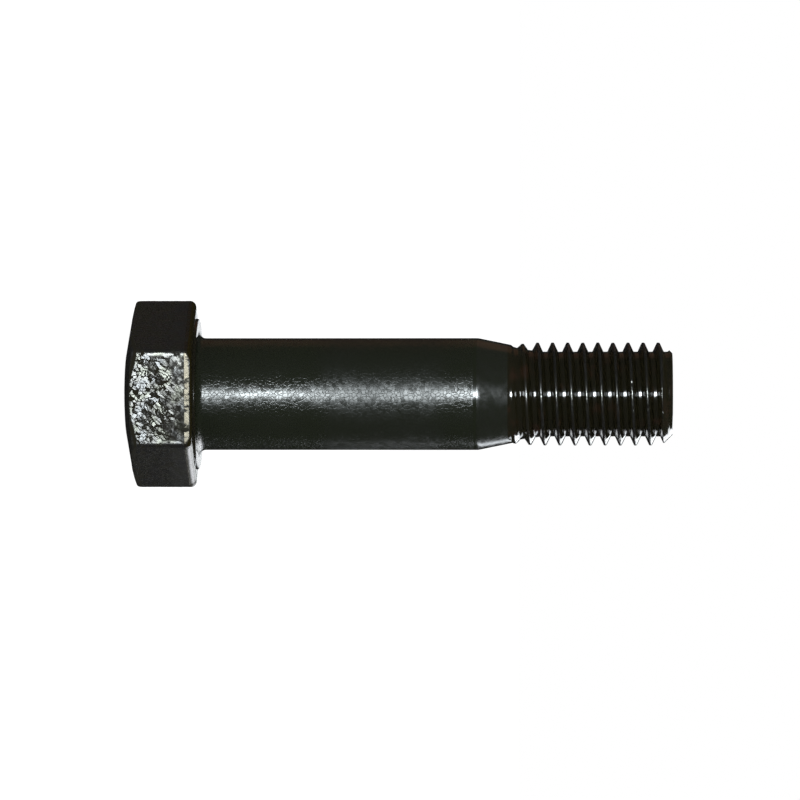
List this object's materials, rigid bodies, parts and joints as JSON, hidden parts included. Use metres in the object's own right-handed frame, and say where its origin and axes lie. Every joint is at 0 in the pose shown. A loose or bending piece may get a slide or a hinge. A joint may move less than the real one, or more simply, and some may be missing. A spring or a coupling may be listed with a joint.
{
  "type": "hex fit bolt",
  "caption": "Hexagon-head fit bolt in black steel: low-crowned head, thin washer face, long thick plain shank, short taper and a coarse right-hand thread with a chamfered point.",
  "frame": {"origin": "centre of the flat disc in the middle of the head's outer side, which the bolt stands on", "axes": "+Z along the bolt's axis from the head to the threaded end; -Y and +Y are normal to two of the hexagon's flats; +X and -X point to two of its corners"},
  "size_m": [0.0218, 0.019, 0.0634],
  "materials": {
    "black_oxide_steel": "satin"
  },
  "bodies": {
    "root": {"hex_fit_bolt": "black_oxide_steel"}
  },
  "joints": []
}
